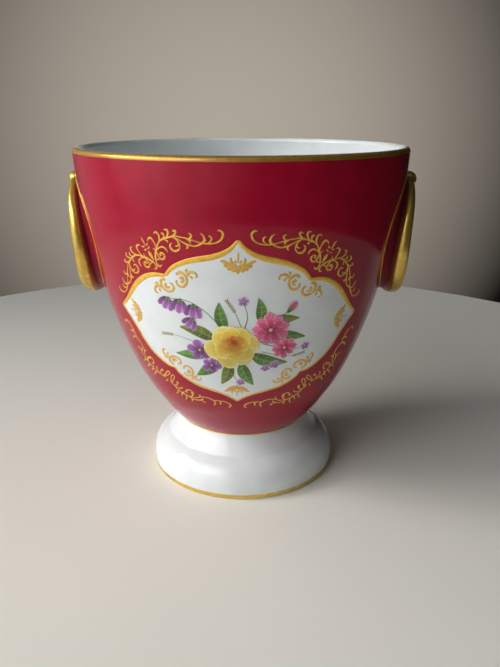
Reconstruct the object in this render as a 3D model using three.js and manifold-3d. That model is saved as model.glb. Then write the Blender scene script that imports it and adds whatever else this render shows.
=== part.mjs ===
import * as THREE from 'three';
import { mergeVertices } from 'three/addons/utils/BufferGeometryUtils.js';
import Module from 'manifold-3d';

// Footed porcelain flower pot with a moulded ring handle on each side
// Millimetres, +Z up. The origin is the centre of the face that it rests on, and the handles are on X.

// Bowl
const rimRadius = 80;
const rimHeight = 169;
const bowlWall = 4;
const bowlFloor = 6;
const neckRadius = 35;
const neckHeight = 29;

// Shape of the bowl's outside: a small cove at the neck, a round belly and an almost upright rim
const coveDepth = 1.2;
const coveCornerRise = 1.9;
const coveRise = 2.8;
const bellySpread = 32;
const bellyRise = 24.6;
const rimUpright = 22;

// Foot
const footRadius = 50;
const footStep = 9.2;
const footStepHeight = 19;
const footNeckCurveIn = 1;
const footSkirtFullness = 0.6;
const footSkirtShoulder = 10.6;
const footEdgeHeight = 3.2;
const footEdgeRounding = 1.2;
const footRingWidth = 4.6;
const footRingHeight = 5;
const footTopLand = 6.5;

// Ring handle: the middle line of the gilt ring, and how far it stands off the wall
const ringCentreBelowRim = 42.6;
const ringCentreHeight = rimHeight - ringCentreBelowRim;
const ringHalfWidth = 23;
const ringHalfHeight = 26.4;
const ringTopThickness = 3.2;
const ringBottomThickness = 8.4;
const ringBottomStandoff = 7.7;
const ringStandoffBow = 0.77;

// Web between the ring and the wall. It is thin at the ring and its outer side spreads towards the wall.
const webInsideAtRing = 1.6;
const webOutsideAtRing = 1;
const webInsideAtWall = 3;
const webBaseAboveRingCentre = 3.1;
const webBaseCentreHeight = ringCentreHeight + webBaseAboveRingCentre;
const webBaseHalfWidth = 38;
const webBaseHalfHeight = 31;
const webStart = 0.45;

// Knob that the ring hangs from
const knobRadius = 3.8;
const knobStandoff = 3.2;

// Gap between two pieces that are joined by glaze
const jointGap = 0.3;

// Number of flats and steps on round shapes
const bowlSides = 60;
const bellySteps = 16;
const smoothSteps = 96;
const lipSteps = 4;
const coveSteps = 2;
const footCurveSteps = 6;
const ringSteps = 40;
const ringSides = 10;
const knobSides = 20;
const knobRows = 12;

const fullTurn = 2 * Math.PI;

// How far the uncut web runs into the wall
const webSink = 2;

const wasm = await Module();
wasm.setup();

const crimsonGlaze = new THREE.MeshStandardMaterial({ color: 0xa3263c, roughness: 0.12, metalness: 0 });
const whiteGlaze = new THREE.MeshStandardMaterial({ color: 0xe8ebe9, roughness: 0.12, metalness: 0 });
const gilding = new THREE.MeshStandardMaterial({ color: 0xc9a04a, roughness: 0.25, metalness: 1 });

function curvePoints(curve, steps) {
  return curve.getPoints(steps);
}

function outsideOfBowl(steps) {
  const joint = new THREE.Vector2(neckRadius, neckHeight);
  const corner = new THREE.Vector2(neckRadius - coveDepth, neckHeight + coveCornerRise);
  const bellyStart = new THREE.Vector2(neckRadius, neckHeight + coveRise);
  const bellyPull = new THREE.Vector2(neckRadius + bellySpread, neckHeight + coveRise + bellyRise);
  const lipStart = new THREE.Vector2(rimRadius, rimHeight - bowlWall / 2);
  const rimPull = new THREE.Vector2(rimRadius, rimHeight - bowlWall / 2 - rimUpright);
  const cove = new THREE.QuadraticBezierCurve(joint, corner, bellyStart);
  const belly = new THREE.CubicBezierCurve(bellyStart, bellyPull, rimPull, lipStart);
  return [...curvePoints(cove, coveSteps), ...curvePoints(belly, steps).slice(1)];
}

// A profile moved sideways: a positive distance moves it towards the axis
function offsetProfile(points, distance) {
  return points.map((point, i) => {
    const before = points[Math.max(i - 1, 0)];
    const after = points[Math.min(i + 1, points.length - 1)];
    const along = after.clone().sub(before).normalize();
    return new THREE.Vector2(point.x - along.y * distance, point.y + along.x * distance);
  });
}

// Radius of a rising profile at a height
function radiusAt(points, height) {
  const upper = points.findIndex((point) => point.y >= height);
  if (upper <= 0) {
    return points[upper === 0 ? 0 : points.length - 1].x;
  }
  const below = points[upper - 1];
  const above = points[upper];
  return THREE.MathUtils.mapLinear(height, below.y, above.y, below.x, above.x);
}

// A profile turned round the Z axis. It runs from low to high on the outside.
function turned(profile, sides) {
  const geometry = new THREE.LatheGeometry(profile, sides);
  geometry.rotateX(Math.PI / 2);
  return geometry;
}

const bowlOutside = outsideOfBowl(bellySteps);
const smoothWall = outsideOfBowl(smoothSteps);

function wallRadiusAt(height) {
  return radiusAt(smoothWall, height);
}

function bowlGeometry() {
  const floorTop = neckHeight + bowlFloor;
  const inside = offsetProfile(bowlOutside, bowlWall).filter((point) => point.y > floorTop + bowlWall / 4);
  const lip = [];
  for (let i = 1; i < lipSteps; i += 1) {
    const angle = (Math.PI * i) / lipSteps;
    const across = rimRadius - bowlWall / 2 + (bowlWall / 2) * Math.cos(angle);
    lip.push(new THREE.Vector2(across, rimHeight - bowlWall / 2 + (bowlWall / 2) * Math.sin(angle)));
  }
  const floorRadius = radiusAt(offsetProfile(bowlOutside, bowlWall), floorTop);
  const profile = [
    new THREE.Vector2(0, neckHeight),
    ...bowlOutside,
    ...lip,
    ...inside.reverse(),
    new THREE.Vector2(floorRadius, floorTop),
    new THREE.Vector2(0, floorTop),
  ];
  return turned(profile, bowlSides);
}

function footGeometry() {
  const top = neckHeight - jointGap;
  const landInside = neckRadius - footTopLand;
  const hollowRadius = footRadius - footEdgeRounding - footRingWidth;
  const neck = new THREE.Vector2(neckRadius, top);
  const step = new THREE.Vector2(footRadius - footStep, footStepHeight);
  const neckPull = neck.clone().lerp(step, 0.5).sub(new THREE.Vector2(footNeckCurveIn, 0));
  const edge = new THREE.Vector2(footRadius, footEdgeHeight);
  const skirtPull = new THREE.Vector2(footRadius - footSkirtFullness, footSkirtShoulder);
  const neckCurve = new THREE.QuadraticBezierCurve(step, neckPull, neck);
  const skirtCurve = new THREE.QuadraticBezierCurve(edge, skirtPull, step);
  const start = new THREE.Vector2(footRadius - footEdgeRounding, 0);
  const profile = [
    start,
    new THREE.Vector2(footRadius - footEdgeRounding / 3, footEdgeRounding / 2),
    new THREE.Vector2(footRadius, footEdgeRounding),
    ...curvePoints(skirtCurve, footCurveSteps),
    ...curvePoints(neckCurve, footCurveSteps).slice(1),
    new THREE.Vector2(landInside, top),
    new THREE.Vector2(hollowRadius, footRingHeight),
    new THREE.Vector2(hollowRadius, 0),
    start,
  ];
  return turned(profile, bowlSides);
}

// A closed body through a row of rings of points. A looped body joins its last ring to its first.
function sweptBody(rings, looped) {
  const around = rings[0].length;
  const spans = looped ? rings.length : rings.length - 1;
  const faces = [];
  for (let i = 0; i < spans; i += 1) {
    const here = i * around;
    const next = ((i + 1) % rings.length) * around;
    for (let j = 0; j < around; j += 1) {
      const k = (j + 1) % around;
      faces.push(here + j, next + k, here + k);
      faces.push(here + j, next + j, next + k);
    }
  }
  if (!looped) {
    const last = (rings.length - 1) * around;
    for (let j = 1; j < around - 1; j += 1) {
      faces.push(0, j, j + 1);
      faces.push(last, last + j + 1, last + j);
    }
  }
  const geometry = new THREE.BufferGeometry().setFromPoints(rings.flat());
  geometry.setIndex(faces);
  geometry.computeVertexNormals();
  return geometry;
}

// How far round a point of the ring is, from 0 at the top to 1 at the bottom
function fromTop(turn) {
  return (1 - Math.cos(turn)) / 2;
}

function ringThickness(turn) {
  return THREE.MathUtils.lerp(ringTopThickness, ringBottomThickness, fromTop(turn));
}

function ringStandoff(turn) {
  const touching = ringTopThickness / 2 + jointGap;
  return THREE.MathUtils.lerp(touching, ringBottomStandoff, fromTop(turn) ** ringStandoffBow);
}

// Middle line of the ring on the +X side, bent round the bowl
function ringMiddle(turn) {
  const height = ringCentreHeight + ringHalfHeight * Math.cos(turn);
  const radius = wallRadiusAt(height) + ringStandoff(turn);
  const angle = (ringHalfWidth * Math.sin(turn)) / wallRadiusAt(ringCentreHeight);
  return new THREE.Vector3(radius * Math.cos(angle), radius * Math.sin(angle), height);
}

// The ring's middle point, the way off the wall, and the way away from the ring's centre
function ringFrame(turn) {
  const nudge = 0.03;
  const middle = ringMiddle(turn);
  const tangent = ringMiddle(turn + nudge).sub(ringMiddle(turn - nudge)).normalize();
  const off = new THREE.Vector3(middle.x, middle.y, 0).normalize();
  off.addScaledVector(tangent, -off.dot(tangent)).normalize();
  const away = off.clone().cross(tangent);
  return { middle, off, away };
}

function ringGeometry(extra) {
  const rings = [];
  for (let i = 0; i < ringSteps; i += 1) {
    const turn = (fullTurn * i) / ringSteps;
    const { middle, off, away } = ringFrame(turn);
    const radius = ringThickness(turn) / 2 + extra;
    const section = [];
    for (let j = 0; j < ringSides; j += 1) {
      const angle = (fullTurn * j) / ringSides;
      const point = middle.clone().addScaledVector(off, radius * Math.cos(angle));
      section.push(point.addScaledVector(away, radius * Math.sin(angle)));
    }
    rings.push(section);
  }
  return sweptBody(rings, true);
}

// Outer edge of the web where it meets the wall, sunk into the wall
function webBase(turn) {
  const height = webBaseCentreHeight + webBaseHalfHeight * Math.cos(turn);
  const radius = wallRadiusAt(height) - webSink;
  const angle = (webBaseHalfWidth * Math.sin(turn)) / wallRadiusAt(ringCentreHeight);
  return new THREE.Vector3(radius * Math.cos(angle), radius * Math.sin(angle), height);
}

function webBlank() {
  const rings = [];
  for (let i = 0; i <= ringSteps; i += 1) {
    const turn = webStart + ((fullTurn - 2 * webStart) * i) / ringSteps;
    const { middle, off, away } = ringFrame(turn);
    const depth = ringStandoff(turn) + webSink;
    const corner = (outward, along) => middle.clone().addScaledVector(off, outward).addScaledVector(away, along);
    rings.push([
      corner(0, webOutsideAtRing),
      webBase(turn),
      corner(-depth, -webInsideAtWall),
      corner(0, -webInsideAtRing),
    ]);
  }
  return sweptBody(rings, false);
}

function knobBlank() {
  const geometry = new THREE.SphereGeometry(knobRadius, knobSides, knobRows);
  geometry.rotateX(Math.PI / 2);
  const height = ringCentreHeight + ringHalfHeight;
  geometry.translate(wallRadiusAt(height) + knobStandoff, 0, height);
  return geometry;
}

// The space that the bowl takes, grown by the joint gap
function bowlSpace() {
  const grown = offsetProfile(bowlOutside, -jointGap);
  const bottom = new THREE.Vector2(0, grown[0].y);
  const top = new THREE.Vector2(0, grown[grown.length - 1].y);
  return turned([bottom, ...grown, top], bowlSides);
}

function toSolid(geometry) {
  const bare = geometry.clone();
  bare.deleteAttribute('normal');
  bare.deleteAttribute('uv');
  const merged = mergeVertices(bare, 0.0001);
  const index = Array.from(merged.index.array);
  const kept = [];
  for (let i = 0; i < index.length; i += 3) {
    const [a, b, c] = index.slice(i, i + 3);
    if (a !== b && b !== c && c !== a) {
      kept.push(a, b, c);
    }
  }
  const vertProperties = new Float32Array(merged.attributes.position.array);
  const triVerts = new Uint32Array(kept);
  return new wasm.Manifold(new wasm.Mesh({ numProp: 3, vertProperties, triVerts }));
}

function toGeometry(solid) {
  const mesh = solid.getMesh();
  const geometry = new THREE.BufferGeometry();
  geometry.setAttribute('position', new THREE.BufferAttribute(new Float32Array(mesh.vertProperties), 3));
  geometry.setIndex(new THREE.BufferAttribute(new Uint32Array(mesh.triVerts), 1));
  geometry.computeVertexNormals();
  return geometry;
}

function carve(blank, ...tools) {
  const cut = tools.reduce((solid, tool) => solid.subtract(toSolid(tool)), toSolid(blank));
  return toGeometry(cut);
}

function namedMesh(name, geometry, material) {
  const mesh = new THREE.Mesh(geometry, material);
  mesh.name = name;
  return mesh;
}

// One handle on the +X side. The other is the same casting turned half way round.
function handle(side) {
  const group = new THREE.Group();
  const ringSpace = ringGeometry(jointGap);
  const knob = carve(knobBlank(), bowlSpace(), ringSpace);
  const knobSpace = new THREE.SphereGeometry(knobRadius + jointGap, knobSides, knobRows);
  knobSpace.rotateX(Math.PI / 2);
  const knobHeight = ringCentreHeight + ringHalfHeight;
  knobSpace.translate(wallRadiusAt(knobHeight) + knobStandoff, 0, knobHeight);
  const web = carve(webBlank(), bowlSpace(), ringSpace, knobSpace);
  group.add(namedMesh(`${side}_handle_ring`, ringGeometry(0), gilding));
  group.add(namedMesh(`${side}_handle_web`, web, crimsonGlaze));
  group.add(namedMesh(`${side}_handle_knob`, knob, gilding));
  return group;
}

const pot = new THREE.Group();
pot.add(namedMesh('bowl', bowlGeometry(), crimsonGlaze));
pot.add(namedMesh('foot', footGeometry(), whiteGlaze));
const rightHandle = handle('right');
const leftHandle = handle('left');
leftHandle.rotation.z = Math.PI;
pot.add(rightHandle, leftHandle);

export default pot;
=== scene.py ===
import math
from bisect import bisect_right

import bmesh
import bpy
from mathutils import Matrix, Vector
from mathutils.geometry import interpolate_bezier


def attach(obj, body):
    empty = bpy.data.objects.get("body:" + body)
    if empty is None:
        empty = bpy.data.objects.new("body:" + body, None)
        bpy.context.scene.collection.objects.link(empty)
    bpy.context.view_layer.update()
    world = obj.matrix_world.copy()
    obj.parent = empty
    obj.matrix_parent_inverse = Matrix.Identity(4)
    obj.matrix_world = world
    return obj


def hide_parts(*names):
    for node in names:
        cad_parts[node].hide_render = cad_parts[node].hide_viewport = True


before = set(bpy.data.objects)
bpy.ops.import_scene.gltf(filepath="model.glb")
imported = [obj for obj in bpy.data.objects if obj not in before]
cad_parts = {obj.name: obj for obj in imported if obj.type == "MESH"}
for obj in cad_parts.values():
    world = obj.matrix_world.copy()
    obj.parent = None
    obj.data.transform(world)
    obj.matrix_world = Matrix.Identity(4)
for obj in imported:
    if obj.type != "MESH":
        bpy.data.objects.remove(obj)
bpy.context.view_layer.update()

# Footed porcelain flower pot, crimson outside and white inside, with gilt ring handles.
# Pieces are shaped in millimetres and turned to metres when they are finished.
MM = 0.001
FULL_TURN = 2 * math.pi

# Bowl
RIM_RADIUS = 80
RIM_HEIGHT = 169
BOWL_WALL = 4
LIP_RADIUS = 2
BOWL_FLOOR_TOP = 35
FLOOR_CORNER_RADIUS = 22
NECK_RADIUS = 35
NECK_HEIGHT = 29
BOWL_FOOT_PULL = (40.6, 34.7)
BOWL_FOOT_STEPS = 20
WALL_START = (35, 31.8)
BELLY_PULL = (67, 56.4)
RIM_PULL = (80, 145)
WALL_END = (80, 167)
LIP_GILDING_HEIGHT = 2.2

# Foot
FOOT_RADIUS = 50
FOOT_STEP = (41, 18.8)
FOOT_NECK_PULL = (37, 23.6)
FOOT_SKIRT_PULLS = ((50.6, 9.8), (47.2, 15.9))
FOOT_EDGE_HEIGHT = 3.2
FOOT_ROUNDING = 1.2
FOOT_HOLLOW_RADIUS = 44.2
FOOT_HOLLOW_TOP_RADIUS = 28.5
FOOT_RING_HEIGHT = 5
FOOT_GILDING_LOW = 0.7
FOOT_GILDING_HIGH = 2.9

# Ring handles
RING_CENTRE_HEIGHT = 126.4
RING_HALF_WIDTH = 23
RING_HALF_HEIGHT = 26.4
RING_TOP_THICKNESS = 4
RING_BOTTOM_THICKNESS = 8.4
RING_BOTTOM_STANDOFF = 7.7
RING_STANDOFF_BOW = 0.77
RING_INNER_DEPTH = 1.35
WEB_BASE_CENTRE_HEIGHT = 129.5
WEB_BASE_HALF_WIDTH = 38
WEB_BASE_HALF_HEIGHT = 31
WEB_START = 0.4
# Share of the way round the ring's section where the painted shade on its side towards the wall begins
RING_SHADE_FROM = 0.28
KNOB_RADIUS = 3.8
KNOB_STANDOFF = 3.2
JOINT_GAP = 0.3

# The painted design is drawn flat, as if the wall were unrolled without changing any shape:
# one millimetre across is one millimetre of a wall of this radius, and the height grows to match.
PLAN_RADIUS = 70
PLAN_ZERO_HEIGHT = 100


def colour(code):
    """An sRGB hex colour as the linear colour that a shader takes"""
    parts = [int(code[i : i + 2], 16) / 255 for i in (0, 2, 4)]
    return [p / 12.92 if p <= 0.04045 else ((p + 0.055) / 1.055) ** 2.4 for p in parts] + [1]


def mix(low, high, share):
    return low + (high - low) * share


# Shapes

def cubic(start, first_pull, second_pull, end, steps):
    knots = [Vector((radius, 0, height)) for radius, height in (start, first_pull, second_pull, end)]
    return [(p.x, p.z) for p in interpolate_bezier(*knots, steps)]


def quadratic(start, pull, end, steps):
    first = [mix(a, b, 2 / 3) for a, b in zip(start, pull)]
    second = [mix(a, b, 2 / 3) for a, b in zip(end, pull)]
    return cubic(start, first, second, end, steps)


def moved_sideways(points, distance):
    """A rising profile moved towards the axis"""
    moved = []
    for i, (radius, height) in enumerate(points):
        before, after = points[max(i - 1, 0)], points[min(i + 1, len(points) - 1)]
        along = Vector((after[0] - before[0], after[1] - before[1])).normalized()
        moved.append((radius - along.y * distance, height + along.x * distance))
    return moved


WALL = cubic(WALL_START, BELLY_PULL, RIM_PULL, WALL_END, 161)
WALL_HEIGHTS = [height for _, height in WALL]


def along_list(places, values, place):
    """The value at a place in a rising list, straight between its entries"""
    i = min(max(bisect_right(places, place), 1), len(places) - 1)
    share = (place - places[i - 1]) / (places[i] - places[i - 1])
    return [mix(a, b, share) for a, b in zip(values[i - 1], values[i])]


def wall_radius(height):
    return along_list(WALL_HEIGHTS, WALL, height)[0]


def plan_heights():
    """How high each point of the wall stands in the flat plan"""
    heights = [0]
    for (r0, z0), (r1, z1) in zip(WALL, WALL[1:]):
        heights.append(heights[-1] + PLAN_RADIUS * math.hypot(r1 - r0, z1 - z0) / ((r0 + r1) / 2))
    zero = along_list(WALL_HEIGHTS, [(h,) for h in heights], PLAN_ZERO_HEIGHT)[0]
    return [h - zero for h in heights]


PLAN_HEIGHTS = plan_heights()


def on_wall(x, y, lift):
    """The point of the wall that is at x, y in the flat plan, lifted off the glaze"""
    radius, height = along_list(PLAN_HEIGHTS, WALL, y)
    ahead, above = along_list(PLAN_HEIGHTS, WALL, y + 0.5)
    behind, below = along_list(PLAN_HEIGHTS, WALL, y - 0.5)
    lean = math.atan2(ahead - behind, above - below)
    radius += lift * math.cos(lean)
    angle = x / PLAN_RADIUS
    return Vector((radius * math.sin(angle), -radius * math.cos(angle), height - lift * math.sin(lean)))


def spun(work, profile, steps=160):
    """Turn a profile of radius and height round the Z axis"""
    points = [work.verts.new((radius, 0, height)) for radius, height in profile]
    lines = [work.edges.new(pair) for pair in zip(points, points[1:])]
    bmesh.ops.spin(
        work, geom=points + lines, cent=(0, 0, 0), axis=(0, 0, 1), angle=FULL_TURN, steps=steps, use_merge=True
    )
    bmesh.ops.remove_doubles(work, verts=work.verts, dist=0.001)


def formed(work, across, along, shape, shade=None):
    """Add a grid and move each point to shape(u, v), with u and v from 0 to 1"""
    made = bmesh.ops.create_grid(work, x_segments=across, y_segments=along, size=0.5)["verts"]
    flat_map = work.loops.layers.uv.verify()
    paint = work.verts.layers.float_color.get("paint") if shade else None
    for face in {face for point in made for face in point.link_faces}:
        for corner in face.loops:
            corner[flat_map].uv = (corner.vert.co.x + 0.5, corner.vert.co.y + 0.5)
    for point in made:
        u, v = point.co.x + 0.5, point.co.y + 0.5
        if shade:
            point[paint] = shade(u, v)
        point.co = shape(u, v)
    bmesh.ops.remove_doubles(work, verts=made, dist=0.002)


SLOTS = {}


def finished(name, work, materials, slot, *nodes, smooth=True):
    """Turn a bmesh in millimetres into a piece of the pot"""
    SLOTS[name] = slot
    bmesh.ops.recalc_face_normals(work, faces=work.faces)
    bmesh.ops.scale(work, vec=(MM, MM, MM), verts=work.verts)
    mesh = bpy.data.meshes.new(name)
    for face in work.faces:
        face.smooth = smooth
    work.to_mesh(mesh)
    work.free()
    for material in materials:
        mesh.materials.append(material)
    piece = bpy.data.objects.new(name, mesh)
    bpy.context.scene.collection.objects.link(piece)
    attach(piece, "root")
    if nodes:
        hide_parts(*nodes)
    return piece


# Materials

def node(tree, kind, inputs=None, **settings):
    """Add a node: each input is a value or the output of another node"""
    made = tree.nodes.new(kind)
    for name, value in settings.items():
        setattr(made, name, value)
    for socket, value in (inputs or {}).items():
        if isinstance(value, bpy.types.NodeSocket):
            tree.links.new(value, made.inputs[socket])
        else:
            made.inputs[socket].default_value = value
    return made


def blank_material(name):
    material = bpy.data.materials.new(name)
    material.use_nodes = True
    material.node_tree.nodes.clear()
    return material, material.node_tree


def ramp(tree, source, *stops):
    """Colours or greys placed along a value"""
    made = node(tree, "ShaderNodeValToRGB", {"Fac": source})
    bar = made.color_ramp
    while len(bar.elements) < len(stops):
        bar.elements.new(0.5)
    for element, (place, shade) in zip(bar.elements, stops):
        element.position = place
        element.color = shade
    return made.outputs["Color"]


def glaze(name, deep, bright, roughness, gloss=1.52, patch_mm=9.0, wave_mm=14.0, wave_depth_mm=0.02):
    """Glossy fired glaze: soft clouds of colour, and a skin that is not quite even"""
    material, tree = blank_material(name)
    place = node(tree, "ShaderNodeTexCoord").outputs["Object"]
    clouds = node(tree, "ShaderNodeTexNoise", {"Vector": place, "Scale": 1 / (patch_mm * MM), "Detail": 4.0})
    waves = node(tree, "ShaderNodeTexNoise", {"Vector": place, "Scale": 1 / (wave_mm * MM), "Detail": 1.0})
    skin = node(tree, "ShaderNodeBump", {"Height": waves.outputs["Fac"], "Distance": wave_depth_mm * MM, "Strength": 0.6})
    shine = node(
        tree, "ShaderNodeMapRange", {"Value": clouds.outputs["Fac"], "To Min": roughness * 0.8, "To Max": roughness * 1.3}
    )
    surface = node(tree, "ShaderNodeBsdfPrincipled", {
        "Base Color": ramp(tree, clouds.outputs["Fac"], (0.3, colour(deep)), (0.7, colour(bright))),
        "Roughness": shine.outputs["Result"],
        "Normal": skin.outputs["Normal"],
        "IOR": gloss,
    })
    node(tree, "ShaderNodeOutputMaterial", {"Surface": surface.outputs["BSDF"]})
    return material


def gilding(name, deep, bright, smooth_roughness, rough_roughness, grain_mm=1.6, metallic=1.0):
    """Burnished gold fired over the glaze: bright, with faint rubbed streaks and duller patches"""
    material, tree = blank_material(name)
    place = node(tree, "ShaderNodeTexCoord").outputs["Object"]
    rubbed = node(tree, "ShaderNodeTexNoise", {"Vector": place, "Scale": 1 / (grain_mm * MM), "Detail": 5.0})
    patches = node(tree, "ShaderNodeTexNoise", {"Vector": place, "Scale": 1 / (9 * MM), "Detail": 3.0})
    dull = node(tree, "ShaderNodeMapRange", {
        "Value": patches.outputs["Fac"], "From Min": 0.35, "From Max": 0.7,
        "To Min": smooth_roughness, "To Max": rough_roughness,
    })
    marks = node(tree, "ShaderNodeBump", {"Height": rubbed.outputs["Fac"], "Distance": 0.015 * MM, "Strength": 0.5})
    surface = node(tree, "ShaderNodeBsdfPrincipled", {
        "Base Color": ramp(tree, rubbed.outputs["Fac"], (0.3, colour(deep)), (0.7, colour(bright))),
        "Metallic": metallic,
        "Roughness": dull.outputs["Result"],
        "Normal": marks.outputs["Normal"],
    })
    node(tree, "ShaderNodeOutputMaterial", {"Surface": surface.outputs["BSDF"]})
    return material


def china_paint(name):
    """Enamel colours painted on the glaze: each stroke has its own shade, with fine brush streaks along it"""
    material, tree = blank_material(name)
    shade = node(tree, "ShaderNodeVertexColor", layer_name="paint")
    flat = node(tree, "ShaderNodeTexCoord").outputs["UV"]
    hairs = node(tree, "ShaderNodeMapping", {"Vector": flat, "Scale": (14, 1.6, 1)})
    streaks = node(tree, "ShaderNodeTexNoise", {"Vector": hairs.outputs["Vector"], "Scale": 1.0, "Detail": 3.0})
    light = node(tree, "ShaderNodeMapRange", {"Value": streaks.outputs["Fac"], "To Min": 0.86, "To Max": 1.14})
    tinted = node(tree, "ShaderNodeHueSaturation", {"Color": shade.outputs["Color"], "Value": light.outputs["Result"]})
    surface = node(tree, "ShaderNodeBsdfPrincipled", {
        "Base Color": tinted.outputs["Color"], "Roughness": 0.22, "IOR": 1.5,
    })
    node(tree, "ShaderNodeOutputMaterial", {"Surface": surface.outputs["BSDF"]})
    return material


# Crimson ground: a red enamel glaze fired to a deep gloss, a little uneven where the colour lies thicker
crimson = glaze("crimson_enamel_glaze", "97102A", "A21530", 0.09, gloss=1.36)
# The same red painted darker on the web between ring and wall: painted shade for the shadow that the ring casts on it
web_shade_crimson = glaze("pooled_crimson_glaze", "6A0B24", "7E0F2C", 0.38, gloss=1.36)
# Hard white porcelain glaze: cool white and very smooth
white = glaze("white_porcelain_glaze", "DAE0E2", "E2E8E9", 0.07, wave_depth_mm=0.03)
# Bright gilding on the handles, lip and foot
bright_gold = gilding("burnished_gilding", "CFA846", "E2C566", 0.16, 0.28, metallic=0.66)
# Gold of the lip, rubbed duller by years of handling
lip_gold = gilding("rubbed_lip_gilding", "AE853C", "C49A4A", 0.3, 0.44, metallic=0.6)
# The same gold painted darker and browner on the ring's side towards the wall: painted shade, and a painted reflection
# of the red web
ring_shade_gold = gilding("ring_shade_gilding", "8A5030", "A4663A", 0.3, 0.45, metallic=0.6)
# Printed and painted gold of the scrolls, duller than the handles
painted_gold = gilding("painted_gilding", "DCA838", "F0C654", 0.35, 0.5, metallic=0.35)
# Thinner gold inside the panel, where the white of the glaze shows through
thin_gold = gilding("thin_matt_gilding", "D2A242", "E2BA5E", 0.4, 0.55, metallic=0.25)
enamels = china_paint("painted_enamel_colours")


# Bowl

def bowl():
    work = bmesh.new()
    wall = WALL[BOWL_FOOT_STEPS::2]
    outside = quadratic((NECK_RADIUS - 0.1, NECK_HEIGHT), BOWL_FOOT_PULL, wall[0], 16)[:-1] + wall
    lip = []
    for step in range(1, 16):
        angle = math.pi * step / 16
        lip.append((
            RIM_RADIUS - LIP_RADIUS + LIP_RADIUS * math.cos(angle),
            RIM_HEIGHT - LIP_RADIUS + LIP_RADIUS * math.sin(angle),
        ))
    inside = [point for point in moved_sideways(WALL[::2], BOWL_WALL) if point[1] > BOWL_FLOOR_TOP + 5]
    corner = quadratic(inside[0], (inside[0][0] - 5, BOWL_FLOOR_TOP), (FLOOR_CORNER_RADIUS, BOWL_FLOOR_TOP), 8)
    profile = [(0, NECK_HEIGHT), (NECK_RADIUS - 0.6, NECK_HEIGHT)] + outside + lip
    profile += inside[::-1] + corner[1:] + [(0, BOWL_FLOOR_TOP)]
    spun(work, profile)
    gold_from = RIM_HEIGHT - LIP_GILDING_HEIGHT
    bmesh.ops.bisect_plane(
        work, geom=work.verts[:] + work.edges[:] + work.faces[:], plane_co=(0, 0, gold_from), plane_no=(0, 0, 1)
    )
    for face in work.faces:
        middle = face.calc_center_median()
        radius = math.hypot(middle.x, middle.y)
        if middle.z > gold_from and radius > RIM_RADIUS - LIP_RADIUS + 0.5:
            face.material_index = 2
        elif middle.z > gold_from or (middle.z > BOWL_FLOOR_TOP - 1 and radius < wall_radius(middle.z) - BOWL_WALL / 2):
            face.material_index = 1
        if middle.z < NECK_HEIGHT + 0.01:
            face.material_index = 1
    finished("bowl_shell", work, [crimson, white, lip_gold], "crimson_glaze", "bowl")


def foot():
    work = bmesh.new()
    top = NECK_HEIGHT - 0.1
    skirt = cubic((FOOT_RADIUS, FOOT_EDGE_HEIGHT), *FOOT_SKIRT_PULLS, FOOT_STEP, 24)
    neck = quadratic(FOOT_STEP, FOOT_NECK_PULL, (NECK_RADIUS, top), 16)
    edge = FOOT_RADIUS - FOOT_ROUNDING
    rounding = []
    for step in range(1, 8):
        angle = math.pi / 2 * step / 8
        rounding.append((edge + FOOT_ROUNDING * math.sin(angle), FOOT_ROUNDING * (1 - math.cos(angle))))
    shoulder = quadratic(skirt[-2], FOOT_STEP, neck[1], 7)
    profile = [(edge, 0)] + rounding + [(FOOT_RADIUS, FOOT_ROUNDING)] + skirt[:-1] + shoulder[1:] + neck[2:]
    profile += [(FOOT_HOLLOW_TOP_RADIUS, top), (FOOT_HOLLOW_RADIUS, FOOT_RING_HEIGHT), (FOOT_HOLLOW_RADIUS, 0), (edge, 0)]
    spun(work, profile)
    for height in (FOOT_GILDING_LOW, FOOT_GILDING_HIGH):
        bmesh.ops.bisect_plane(
            work, geom=work.verts[:] + work.edges[:] + work.faces[:], plane_co=(0, 0, height), plane_no=(0, 0, 1)
        )
    for face in work.faces:
        middle = face.calc_center_median()
        outside = math.hypot(middle.x, middle.y) > edge
        if outside and FOOT_GILDING_LOW < middle.z < FOOT_GILDING_HIGH:
            face.material_index = 1
    finished("spreading_foot", work, [white, bright_gold], "white_glaze", "foot")


def neck_line():
    """Thin gold line painted round the joint of bowl and foot"""
    work = bmesh.new()
    profile = []
    for step in range(13):
        angle = FULL_TURN * step / 12
        profile.append((NECK_RADIUS - 0.05 + 0.2 * math.cos(angle), NECK_HEIGHT - 0.1 + 0.35 * math.sin(angle)))
    spun(work, profile)
    finished("neck_gold_line", work, [painted_gold], "gilding")


# Ring handles

def from_top(turn):
    return (1 - math.cos(turn)) / 2


def ring_thickness(turn):
    return mix(RING_TOP_THICKNESS, RING_BOTTOM_THICKNESS, from_top(turn))


def ring_standoff(turn):
    touching = RING_TOP_THICKNESS / 2 + JOINT_GAP
    return mix(touching, RING_BOTTOM_STANDOFF, from_top(turn) ** RING_STANDOFF_BOW)


def round_bowl(radius, along, height):
    """A point at a height, moved along the wall from the handle's middle"""
    angle = along / wall_radius(RING_CENTRE_HEIGHT)
    return Vector((radius * math.cos(angle), radius * math.sin(angle), height))


def ring_middle(turn):
    height = RING_CENTRE_HEIGHT + RING_HALF_HEIGHT * math.cos(turn)
    return round_bowl(wall_radius(height) + ring_standoff(turn), RING_HALF_WIDTH * math.sin(turn), height)


def ring_frame(turn):
    middle = ring_middle(turn)
    tangent = (ring_middle(turn + 0.03) - ring_middle(turn - 0.03)).normalized()
    off = Vector((middle.x, middle.y, 0)).normalized()
    off = (off - tangent * off.dot(tangent)).normalized()
    return middle, off, off.cross(tangent)


def ring_point(turn, angle):
    """The ring is round outside and runs on a little towards the wall"""
    middle, off, away = ring_frame(turn)
    radius = ring_thickness(turn) / 2
    depth = radius if math.cos(angle) > 0 else radius * RING_INNER_DEPTH
    return middle + off * depth * math.cos(angle) + away * radius * math.sin(angle)


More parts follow.
